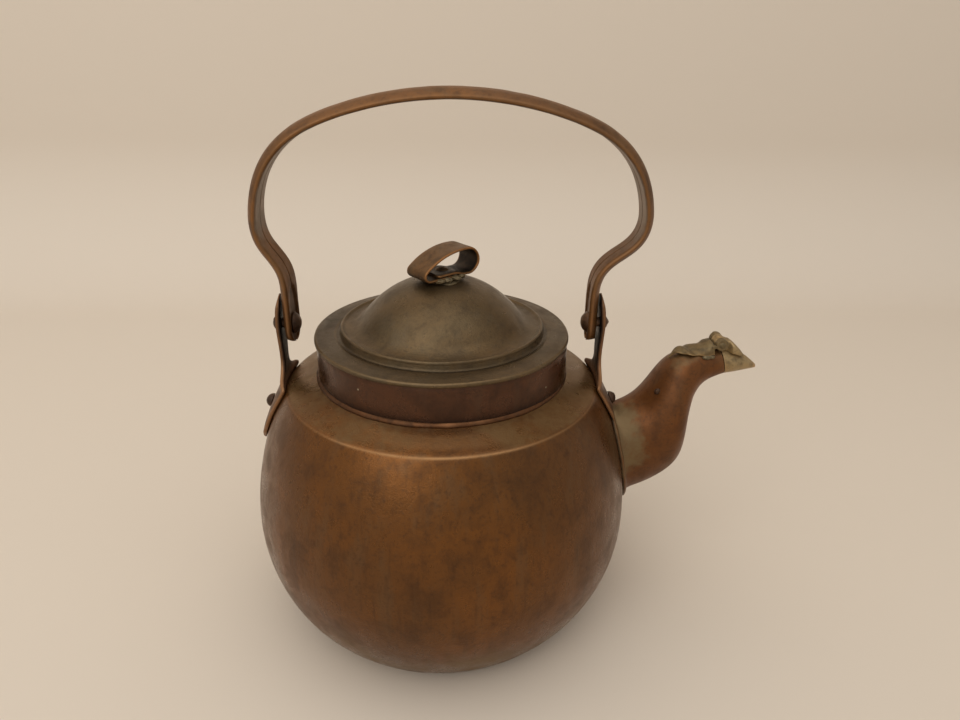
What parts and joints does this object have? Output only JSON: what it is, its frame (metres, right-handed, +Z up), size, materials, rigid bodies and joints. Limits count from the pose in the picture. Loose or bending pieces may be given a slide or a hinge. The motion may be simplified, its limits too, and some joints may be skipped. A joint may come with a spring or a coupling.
{
  "type": "copper coffee kettle",
  "caption": "Round-bellied copper coffee kettle with a swinging bail handle, a lift-off domed lid with a strip loop, and a gooseneck spout closed by a hinged beak flap.",
  "frame": {"origin": "middle of the flat base, on the pot's axis, on the surface it stands on", "axes": "+X towards the spout, +Z up, +Y away from the side seen in the picture"},
  "size_m": [0.1816, 0.136, 0.1879],
  "materials": {
    "body_copper": "old copper with a brown patina",
    "collar_copper": "old copper with a dark red-brown patina",
    "braze": "dull orange braze metal",
    "lid_copper": "old copper with an olive brown patina",
    "bail_copper": "old copper, worn by handling",
    "ear_copper": "old copper with a brown patina",
    "rivet_copper": "dark hammered copper",
    "spout_copper": "old copper with an orange brown patina",
    "solder": "dull grey solder"
  },
  "bodies": {
    "pot": {"pot_base": "body_copper", "pot_belly": "body_copper", "pot_shoulder": "body_copper", "neck_collar": "collar_copper", "collar_braze": "braze", "ear_front": "ear_copper", "ear_rear": "ear_copper", "pivot_rivet_front": "rivet_copper", "pivot_rivet_rear": "rivet_copper", "ear_rivet_front": "rivet_copper", "ear_rivet_rear": "rivet_copper", "spout_tube": "spout_copper", "spout_root_flange": "spout_copper", "spout_plug": "solder", "flap_hinge_leaf": "lid_copper", "flap_hinge_pin": "rivet_copper", "flap_hinge_solder": "solder"},
    "lid": {"lid_dome": "lid_copper", "lid_flange": "lid_copper", "lid_loop": "lid_copper", "lid_loop_rivet": "rivet_copper", "lid_loop_solder": "solder"},
    "bail": {"bail": "bail_copper"},
    "flap": {"spout_flap": "lid_copper"}
  },
  "joints": [
    {"name": "bail_swing", "type": "hinge", "parent": "pot", "child": "bail", "pos_m": [0, 0, 0.111], "axis": [1, 0, 0], "range_deg": [-115, 115]},
    {"name": "lid_lift", "type": "slide", "parent": "pot", "child": "lid", "axis": [0, 0, 1], "range_m": [0, 0.04]},
    {"name": "flap_hinge", "type": "hinge", "parent": "pot", "child": "flap", "pos_m": [0.0988, 0, 0.1034], "axis": [0, -1, 0], "range_deg": [0, 110]}
  ]
}
